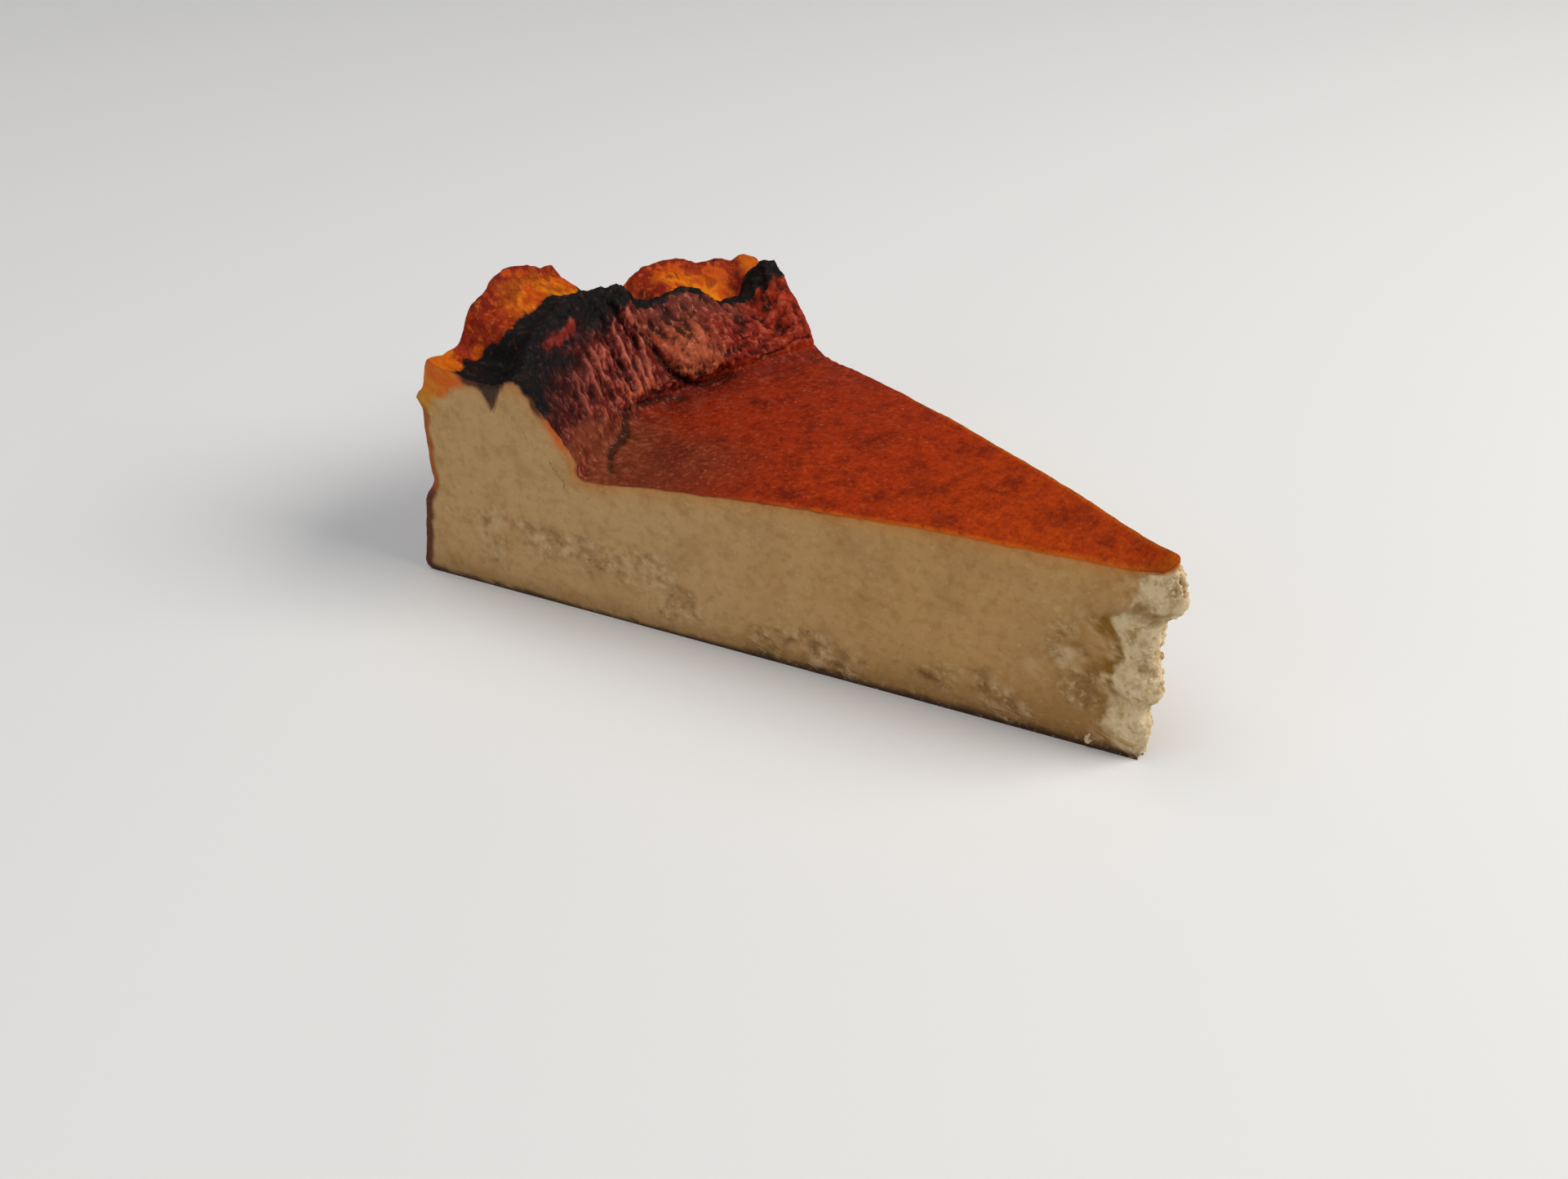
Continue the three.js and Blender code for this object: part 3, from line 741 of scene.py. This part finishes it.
def face_tone(sheet, f):
    """A cut face's colour and the colour of its flecks."""
    height, radius, ragged = f.height, f.radius, f.ragged
    below_skin, below_wall, from_tear = f.below_skin, f.below_wall, f.from_tear
    ragged_radius = radius + ragged
    orange = 0.85 * lump(radius, 97.6, 2.4, 2) * fade(below_skin + 1.5 * ragged, 0.7, 2)
    skin_line = fade(below_skin + 0.4 * ragged, 0, 0.6)
    skin_line_tone = over(hue.skin_edge, hue.dull, smooth(radius, 45, 62) * fade(radius, 95, 97))

    speckled = 2.2 * rough(sheet, 1.5, 3, 27)
    above_line = height + 0.72 * speckled - (CORNER_HEIGHT + CORNER_RISE * (CORNER_RADIUS - radius))
    corner = smooth(above_line, -0.6, 0.6) * smooth(ragged_radius, 111.5, 113.5)
    bump = lump(height, BUMP[0], 1.6, 2) * fade(below_wall, 1.4, 3)
    wide = 0.5 + 0.9 * smooth(radius, 109.5, 111) + 0.7 * lump(radius, 101, 1.2, 2)
    burnt = fade(below_skin + 1.2 * ragged, wide - 0.4, wide + 0.3) * smooth(ragged_radius, 98.5, 100.5)
    wedge = 0.3 + 0.5 * (height - WEDGE_FOOT) - np.abs(radius - WEDGE_RADIUS) + 0.9 * ragged
    wedge = smooth(wedge, -0.4, 0.3) * smooth(height, WEDGE_FOOT - 0.8, WEDGE_FOOT - 0.2)
    wedge_tone = over(hue.wedge, hue.burnt_edge, smooth(height, 34.5, 36.5))

    low = fade(height, 15, 18)
    reach = mix(1.4, 1.9, low)
    rind = fade(below_wall + ragged, 0.5 * reach, reach) * fade(height, 31, 33)
    frayed = rough(sheet, 2, 3, 28)
    # An olive-brown band along the tear, partly painted shade
    olive_shaded_tear = fade(from_tear + 3 * frayed, 1, 4) * smooth(height, 5, 9) * fade(height, 23, 26)
    pale_tear = fade(from_tear - 1.6 * frayed, 0.1, 1.2) * fade(height, 29, 32)
    tone = painted(
        curd_tone(f),
        (hue.under_skin, 0.9 * np.exp(-np.maximum(below_skin + ragged, 0) / UNDER_SKIN_DEPTH)),
        (hue.corner, orange),
        (skin_line_tone, skin_line * (1 - 0.6 * smooth(radius, 92, 96))),
        (hue.corner, 0.97 * corner),
        (hue.bump, 0.5 * corner * smooth(speckled, 0.2, 0.9)),
        (hue.bump, 0.85 * bump),
        (hue.wedge, 0.9 * burnt * fade(ragged_radius, 113.5, 115)),
        (wedge_tone, 0.93 * wedge),
        (over(hue.rind_top, hue.rind_low, low), 0.95 * rind),
        (hue.tear_edge, 0.95 * olive_shaded_tear),
        (hue.torn, 0.8 * pale_tear),
    )
    browned = np.max([skin_line, orange, corner, bump, burnt, wedge, rind, olive_shaded_tear], axis=0)
    flecks = over(tone, hue.curd_bit, 1 - browned)
    # Along the base, dark crust with painted contact shadow
    thick = mix(1.1, 0.65, smooth(radius, 55, 85))
    crust_and_shadow_line = fade(height + 1.2 * ragged, 0.6 * thick, 1.5 * thick)
    return over(tone, hue.base_edge, 0.92 * crust_and_shadow_line), flecks


def tip_relief_and_tone(sheet):
    """The torn tip's relief, its colour and the colour of its flecks."""
    height = sheet[..., 2]
    across = np.broadcast_to(angles[None, :], sheet.shape[:2])
    lumpy, grain = rough(sheet, 3.4, 3, 31), rough(sheet, 1, 3, 32)
    bits = knobs(sheet + 0.7 * rough(sheet, 2, 2, 33)[..., None], 2.6)
    top = fade(sheet[0, :, 2] - height, 0.2, 1.2)
    low = fade(height + 0.5 * grain, 0.2, 1)
    inside = (1 - top) * smooth(height, 0, 1) * fade(np.abs(across) / HALF_ANGLE, 0.9, 1)
    overhang = lump(height + 0.8 * lumpy, 25.6, 0.9, 2) * fade(across, -12, 6)
    pit = lump(height, 31.4, 0.9, 2) * lump(across, -1.5, 2.6, 2)
    relief = inside * (0.5 * lumpy + 0.6 * bits + 0.12 * grain) - 0.7 * pit * inside
    tone = painted(
        hue.torn,
        (hue.torn_shade, 0.8 * smooth(-bits - 0.8 * lumpy - 0.4 * grain, -0.1, 0.6)),
        (hue.torn_shade, 0.5 * fade(height + 3 * lumpy, 1, 6)),
        # Painted shadow under the overhanging lump
        (hue.tear_edge, 0.75 * overhang),
        # Painted shade in a pit
        (hue.curd_pit, 0.8 * pit),
        (hue.edge_line, top),
    )
    flecks = over(tone, hue.torn_fleck, 1 - np.maximum(top, overhang))
    # Along the base, dark crust with painted contact shadow
    return relief, over(tone, hue.base_edge, 0.9 * low), flecks


# ---- building the meshes
def look_of(tone, fleck, mark):
    """Each point's colour, the colour of its flecks, and its mark: how far it is burnt or torn."""
    shape = np.shape(tone)
    mark = np.broadcast_to(mark, shape[:-1])[..., None]
    return np.concatenate([tone, np.broadcast_to(fleck, shape), mark], -1)


def add_object(name, data):
    thing = bpy.data.objects.new(name, data)
    bpy.context.scene.collection.objects.link(thing)
    return thing


def add_piece(name, spots, faces, looks, materials, centre):
    """An object with one smooth mesh, of points in mm from the cake's centre, each with its look."""
    mesh = bpy.data.meshes.new(name)
    mesh.from_pydata((np.array(spots) * MM + centre).tolist(), [], faces)
    for material in materials:
        mesh.materials.append(material)
    looks = np.array(looks, float)
    opaque = np.ones(len(looks))
    for attribute_name, tones in (("tone", looks[:, 0:3]), ("fleck", looks[:, 3:6])):
        attribute = mesh.attributes.new(attribute_name, "FLOAT_COLOR", "POINT")
        attribute.data.foreach_set("color", np.c_[tones, opaque].ravel())
    mesh.attributes.new("marred", "FLOAT", "POINT").data.foreach_set("value", looks[:, 6])
    mesh.polygons.foreach_set("use_smooth", [True] * len(mesh.polygons))
    return add_object(name, mesh)


def sharpen_borders(mesh):
    """Makes the edges sharp where two materials meet."""
    shaped = bmesh.new()
    shaped.from_mesh(mesh)
    for edge in shaped.edges:
        edge.smooth = len({face.material_index for face in edge.link_faces}) < 2
    shaped.to_mesh(mesh)
    shaped.free()
    mesh.validate()


class Surface:
    """Sheets of points welded into one closed mesh, each point with its look."""

    def __init__(self):
        self.spots, self.looks, self.faces, self.kinds = [], [], [], []
        self.number_of = {}

    def number(self, spot, look):
        key = tuple(np.round(spot, 5))
        if key not in self.number_of:
            self.number_of[key] = len(self.spots)
            self.spots.append(spot)
            self.looks.append(look)
        return self.number_of[key]

    def add_face(self, ring, kind, flip=False):
        """A face of numbered points, without the points that fell together."""
        ring = [n for k, n in enumerate(ring) if n != ring[k - 1]]
        if len(ring) > 2:
            self.faces.append(ring[::-1] if flip else ring)
            self.kinds.append(kind)

    def add_sheet(self, grid, look, kind, flip=False):
        rows, columns = grid.shape[:2]
        n = [[self.number(grid[i, j], look[i, j]) for j in range(columns)] for i in range(rows)]
        for i in range(rows - 1):
            for j in range(columns - 1):
                self.add_face([n[i][j], n[i][j + 1], n[i + 1][j + 1], n[i + 1][j]], kind, flip)


SKIN, CURD, BASE = 0, 1, 2  # the kinds of face, which are also the numbers of their materials


def build_slice(materials, centre):
    """The slice as one closed mesh, and where crumbs cling to it."""
    rows, place = spline(section_points(angles), span_rows)
    skin = polar(rows[:, 0], angles[None, :], rows[:, 1])
    wall = skin[EDGE_ROW:, COLUMNS // 2, 2]
    tip = tip_points(1 - wall / wall[0])
    skin = skin + fade(place, 0, TIP_FADE)[:, None, None] * (tip[0] - skin[0])
    skin[0] = tip[0]

    f = skin_fields(skin, place)
    relief, tone, burn = skin_relief(skin, f), skin_tone(skin, f), skin_burn(skin, f)
    for column in (0, -1):  # a cut face takes its edge's colour from the skin
        tone[:, column] = over(tone[:, column], hue.burnt_edge, burn[:, column])
    held = smooth(place, 0, 0.3)[:, None] * smooth(skin[..., 2], 0, 1.5)
    skin_out = normals_of(skin)
    for column, side in ((0, -1), (-1, 1)):
        square = cut_normal(side)
        skin_out[:, column] -= (skin_out[:, column] @ square)[:, None] * square
    skin = skin + skin_out * (relief * held)[..., None]
    tip_relief, tip_tone, tip_flecks = tip_relief_and_tone(tip)
    tip = tip - normals_of(tip) * tip_relief[..., None]

    surface = Surface()
    surface.add_sheet(skin, look_of(tone, fleck_tone(f), burn), SKIN)
    surface.add_sheet(tip, look_of(tip_tone, tip_flecks, 1), CURD, flip=True)
    base_edges = {}
    for column, side, patches in ((0, -1, NEAR_PATCHES), (-1, 1, FAR_PATCHES)):
        sheet = cut_face(skin[:, column], tip[:, column])
        f = face_fields(sheet, skin[:, column], tip[:, column], patches, side)
        look = look_of(*face_tone(sheet, f), f.torn)
        sheet = sheet + cut_normal(side) * face_relief(sheet, f)[..., None]
        surface.add_sheet(sheet, look, CURD, flip=side < 0)
        base_edges[side] = sheet[:, -1]
    outline = [*base_edges[-1], *skin[-1], *base_edges[1][::-1], *tip[-1][::-1]]
    look = look_of(hue.base_edge, hue.base_edge, 0)
    surface.add_face([surface.number(spot, look) for spot in outline], BASE)

    piece = add_piece("slice_of_cheesecake", surface.spots, surface.faces, surface.looks, materials, centre)
    piece.data.polygons.foreach_set("material_index", surface.kinds)
    sharpen_borders(piece.data)
    stray = [(polar(np.array(radius), -HALF_ANGLE, height), size) for radius, height, size in STRAY_LUMPS]
    return piece, crumbs_on_tip(tip) + stray


def crumbs_on_tip(tip):
    """Where crumbs cling to the torn tip: each one's middle, sunk into the tip, and its radius."""
    chance = np.random.default_rng(TIP_CRUMB_SEED)
    out = -normals_of(tip)
    crumbs = []
    for _ in range(TIP_CRUMBS):
        row = chance.integers(TIP_CRUMB_ROW, len(tip) - 2)
        column = chance.integers(TIP_CRUMB_MARGIN, COLUMNS - TIP_CRUMB_MARGIN)
        size = chance.uniform(*TIP_CRUMB_RADII)
        crumbs.append((tip[row, column] - TIP_CRUMB_SINK * size * out[row, column], size))
    return crumbs


def build_crumbs(material, centre, crumbs):
    """Lumpy little balls of curd in one mesh."""
    ball = bmesh.new()
    bmesh.ops.create_icosphere(ball, subdivisions=2, radius=1)
    ball.verts.index_update()
    ball_spots = np.array([vert.co[:] for vert in ball.verts])
    ball_faces = np.array([[vert.index for vert in face.verts] for face in ball.faces])
    ball.free()
    chance = np.random.default_rng(CRUMB_SHAPE_SEED)
    spots, faces, looks = [], [], []
    for number, (place, radius) in enumerate(crumbs):
        lumpy = 1 + CRUMB_LUMPINESS * rough(ball_spots, 1.1, 2, 40 + 3.1 * number)
        shape = ball_spots * lumpy[:, None] * radius * chance.uniform(*CRUMB_STRETCH, 3)
        spots.append(place + shape)
        faces.append(ball_faces + number * len(ball_spots))
        tone = mix(hue.curd, hue.torn, chance.uniform(*CRUMB_PALENESS))
        looks.append(look_of(np.broadcast_to(tone, shape.shape), hue.torn_fleck, 0.8))
    spots, faces, looks = (np.concatenate(several) for several in (spots, faces, looks))
    return add_piece("curd_crumbs", spots, faces.tolist(), looks, [material], centre)


# ---- materials
SUBSURFACE_RADIUS = (1, 0.6, 0.3)  # red, green and blue, times the scale
SUBSURFACE_SCALE = 0.002  # in metres
UPRIGHT = 0.35  # noise read at this share of the height is drawn out nearly three times upwards
MIX_INPUTS, MIX_OUTPUT = (0, 6, 7), 2  # the colour mix's own sockets: share, lower and upper colour
SPECK_GAP = 1.6  # in mm
SPECK_TONE = (0.46, 0.18, 0.09)
CHAR_TONE = (0.007, 0.006, 0.006)
CHAR_LIGHT_TONE = (0.045, 0.02, 0.018)
# Tints multiply the colour that they lie over
MOTTLE_TINT = (0.6, 0.5, 0.5)
FIBRE_TINT = (0.5, 0.42, 0.42)
BROAD_TINT = (0.9, 0.86, 0.78)
GRAIN_TINT = (0.8, 0.75, 0.64)
# The pit tint is painted shade in the hollows of the torn curd's bumps
PIT_SHADE_TINT = (0.72, 0.62, 0.45)
BASE_TINT = (0.6, 0.5, 0.42)
# The flat top's pale specks fade in and out between these places along the slice, in metres
SPECKS_BEGIN = (-0.036, -0.03)
SPECKS_END = (0.024, 0.004)


class Look:
    """A material, and short ways to make the nodes that feed its shader."""

    def __init__(self, name, roughness, specular, subsurface=0):
        self.material = bpy.data.materials.new(name)
        self.material.use_nodes = True
        self.tree = self.material.node_tree
        self.shader = self.tree.nodes["Principled BSDF"]
        self.feed(self.shader, {
            "Roughness": roughness,
            "Specular IOR Level": specular,
            "Subsurface Weight": subsurface,
            "Subsurface Radius": SUBSURFACE_RADIUS,
            "Subsurface Scale": SUBSURFACE_SCALE,
        })
        self.place = self.new("TexCoord", "Object")

    def feed(self, node, inputs):
        """Links the inputs that are given another node's output, and sets the others."""
        for name, value in inputs.items():
            if isinstance(value, bpy.types.NodeSocket):
                self.tree.links.new(value, node.inputs[name])
            else:
                node.inputs[name].default_value = value

    def new(self, kind, output, inputs=None, **settings):
        """A new node's output. The settings come first, because they change the node's sockets."""
        node = self.tree.nodes.new("ShaderNode" + kind)
        for name, value in settings.items():
            setattr(node, name, value)
        self.feed(node, inputs or {})
        return node.outputs[output]

    def marks(self):
        """What each point of a mesh carries: its colour, its flecks' colour, and how burnt or torn."""
        names = (("tone", "Color"), ("fleck", "Color"), ("marred", "Fac"))
        return [self.new("Attribute", output, attribute_name=name) for name, output in names]

    def noise(self, size_mm, detail=4, roughness=0.55, upright=1):
        """Noise with features of a size, drawn out upwards where upright is below 1."""
        place = self.place
        if upright < 1:
            place = self.new("Mapping", "Vector", {"Vector": place, "Scale": (1, 1, upright)})
        inputs = {"Vector": place, "Scale": 1 / (size_mm * MM), "Detail": detail, "Roughness": roughness}
        return self.new("TexNoise", "Fac", inputs)

    def ramp(self, value, start, end, low=0, high=1):
        inputs = {"Value": value, "From Min": start, "From Max": end, "To Min": low, "To Max": high}
        return self.new("MapRange", "Result", inputs, interpolation_type="SMOOTHSTEP")

    def times(self, first, second):
        return self.new("Math", "Value", {0: first, 1: second}, operation="MULTIPLY")

    def blend(self, below, above, share, kind="MIX"):
        """One colour over another. Each is a node's output or three numbers."""
        below, above = (c if isinstance(c, bpy.types.NodeSocket) else (*c, 1) for c in (below, above))
        inputs = dict(zip(MIX_INPUTS, (share, below, above)))
        return self.new("Mix", MIX_OUTPUT, inputs, data_type="RGBA", blend_type=kind)

    def tint(self, below, tint, share):
        return self.blend(below, tint, share, "MULTIPLY")

    def bump(self, height, depth_mm, below=None):
        inputs = {"Height": height, "Distance": depth_mm * MM}
        if below:
            inputs["Normal"] = below
        return self.new("Bump", "Normal", inputs)


def skin_material():
    """Browned skin, blackened where it is marked as burnt, with mottling, fibres and pale specks."""
    n = Look("browned_skin", 0.5, 0.07, 0.03)
    fibres = n.noise(0.9, 5, 0.6, UPRIGHT)
    tone, fleck, burnt = n.marks()
    mottled = n.tint(tone, MOTTLE_TINT, n.ramp(n.noise(2.6, 5), 0.42, 0.72, 0, 0.7))
    darker = n.tint(mottled, FIBRE_TINT, n.ramp(fibres, 0.48, 0.3, 0, 0.7))
    lighter = n.blend(darker, fleck, n.ramp(fibres, 0.52, 0.7, 0, 0.5))
    lengthwise = n.new("SeparateXYZ", "X", {"Vector": n.place})
    flat_top = n.times(n.ramp(lengthwise, *SPECKS_BEGIN), n.ramp(lengthwise, *SPECKS_END))
    spots = n.new("TexVoronoi", "Distance", {"Vector": n.place, "Scale": 1 / (SPECK_GAP * MM)})
    speck = n.times(n.ramp(spots, 0.17, 0.1), n.ramp(n.noise(5, 2), 0.5, 0.62, 0, 0.5))
    specked = n.blend(lighter, SPECK_TONE, n.times(speck, flat_top))
    burn = n.new("Math", "Value", {0: n.noise(1.3, 5), 1: 0.9, 2: burnt}, operation="MULTIPLY_ADD")
    char = n.blend(CHAR_TONE, CHAR_LIGHT_TONE, n.ramp(n.noise(1.1, 5), 0.5, 0.75))
    n.feed(n.shader, {
        "Base Color": n.blend(specked, char, n.ramp(burn, 0.62, 1.1)),
        "Roughness": n.ramp(n.noise(1.8), 0.3, 0.7, 0.42, 0.62),
        "Normal": n.bump(n.noise(2, 4), 0.45, n.bump(n.noise(0.55, 5), 0.22)),
    })
    return n.material


def curd_material():
    """Pale baked curd: close-grained where the knife slid, crumbly where it is marked as torn."""
    n = Look("baked_curd", 0.7, 0.25, 0.12)
    tone, fleck, torn = n.marks()
    broad = n.tint(tone, BROAD_TINT, n.ramp(n.noise(6, 4), 0.42, 0.68, 0, 0.7))
    grain = n.tint(broad, GRAIN_TINT, n.ramp(n.noise(1.5, 5), 0.46, 0.7, 0, 0.6))
    crumbs = n.noise(1.1, 4)
    # Painted shade in the hollows of the torn curd's bumps
    pit_shaded = n.tint(grain, PIT_SHADE_TINT, n.times(torn, n.ramp(crumbs, 0.46, 0.34, 0, 0.55)))
    light = n.blend(pit_shaded, fleck, n.ramp(n.noise(0.8, 4), 0.55, 0.72, 0, 0.25))
    uneven = n.bump(n.noise(1.6, 4), 0.3, n.bump(n.noise(0.45, 5), 0.18))
    n.feed(n.shader, {
        "Base Color": n.blend(light, fleck, n.times(torn, n.ramp(crumbs, 0.54, 0.68, 0, 0.5))),
        "Roughness": n.ramp(n.noise(1.2), 0.3, 0.7, 0.6, 0.8),
        "Normal": n.bump(n.times(torn, crumbs), 0.5, uneven),
    })
    return n.material


def base_material():
    """The browned underside."""
    n = Look("browned_base", 0.65, 0.25)
    cloudy = n.blend(hue.base_pale, hue.base_dark, n.ramp(n.noise(14, 4), 0.35, 0.65))
    n.feed(n.shader, {
        "Base Color": n.tint(cloudy, BASE_TINT, n.ramp(n.noise(1.6, 4), 0.5, 0.75, 0, 0.6)),
        "Normal": n.bump(n.noise(1, 5), 0.3),
    })
    return n.material


# ---- studio
CAMERA_PLACE = (83, -170, 152.9)  # from the cake's centre, at the height of the base
CAMERA_YAW = 42.469  # degrees to the left of +Y
CAMERA_PITCH = 33.990  # degrees down
SENSOR_WIDTH = 36
FOCAL_PIXELS = 2000
PHOTO_WIDTH = 1921
# Square soft lights: (name, direction from the slice, distance in m, size in m, power in W, tint)
LIGHTS = (
    ("key", (0.8, 0.55, 0.9), 1, 0.6, 8.5, (1, 0.97, 0.92)),
    ("top", (-0.3, -0.2, 1), 1.2, 0.9, 5, (1, 1, 1)),
    ("fill", (-0.1, -1, 0.45), 1.2, 0.9, 2.2, (1, 0.98, 0.95)),
)
WORLD_TINT = (0.93, 0.95, 1)
WORLD_STRENGTH = 0.15
FLOOR_REACH = 3  # in metres
FLOOR_TONE = (0.78, 0.78, 0.78)


def add_camera(centre):
    data = bpy.data.cameras.new("camera")
    data.sensor_width = SENSOR_WIDTH
    data.sensor_fit = "HORIZONTAL"
    data.lens = SENSOR_WIDTH * FOCAL_PIXELS / PHOTO_WIDTH
    data.clip_start = 0.01
    camera = add_object("camera", data)
    yaw = Matrix.Rotation(math.radians(CAMERA_YAW), 4, "Z")
    pitch = Matrix.Rotation(math.radians(90 - CAMERA_PITCH), 4, "X")
    place = Vector(np.array(CAMERA_PLACE) * MM + centre)
    camera.matrix_world = Matrix.Translation(place) @ (yaw @ pitch)
    bpy.context.scene.camera = camera


def add_light(name, direction, distance, size, power, tint):
    """A light that looks at the slice from a direction."""
    data = bpy.data.lights.new(name, "AREA")
    data.size = size
    data.energy = power
    data.color = tint
    way = Vector(direction).normalized()
    turned = way.to_track_quat("Z", "Y").to_matrix().to_4x4()
    add_object(name, data).matrix_world = Matrix.Translation(way * distance) @ turned


def add_floor():
    far = FLOOR_REACH
    mesh = bpy.data.meshes.new("floor")
    mesh.from_pydata([(-far, -far, 0), (far, -far, 0), (far, far, 0), (-far, far, 0)], [], [(0, 1, 2, 3)])
    look = Look("pale_floor", 0.8, 0.2)
    look.feed(look.shader, {"Base Color": (*FLOOR_TONE, 1)})
    mesh.materials.append(look.material)
    return add_object("floor", mesh)


def add_world():
    world = bpy.data.worlds.new("studio")
    bpy.context.scene.world = world
    world.use_nodes = True
    background = world.node_tree.nodes["Background"]
    background.inputs["Color"].default_value = (*WORLD_TINT, 1)
    background.inputs["Strength"].default_value = WORLD_STRENGTH


low_corner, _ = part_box(NODE)
cake_centre = np.array([low_corner.x + TIN_RADIUS * MM, 0, 0])
add_camera(cake_centre)
curd = curd_material()
slice_piece, crumb_places = build_slice([skin_material(), curd, base_material()], cake_centre)
crumb_piece = build_crumbs(curd, cake_centre, crumb_places)
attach(slice_piece, "root")
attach(crumb_piece, "root")
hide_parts(NODE)

for light in LIGHTS:
    add_light(*light)
add_world()
add_floor()
bpy.context.scene.view_settings.view_transform = "Standard"
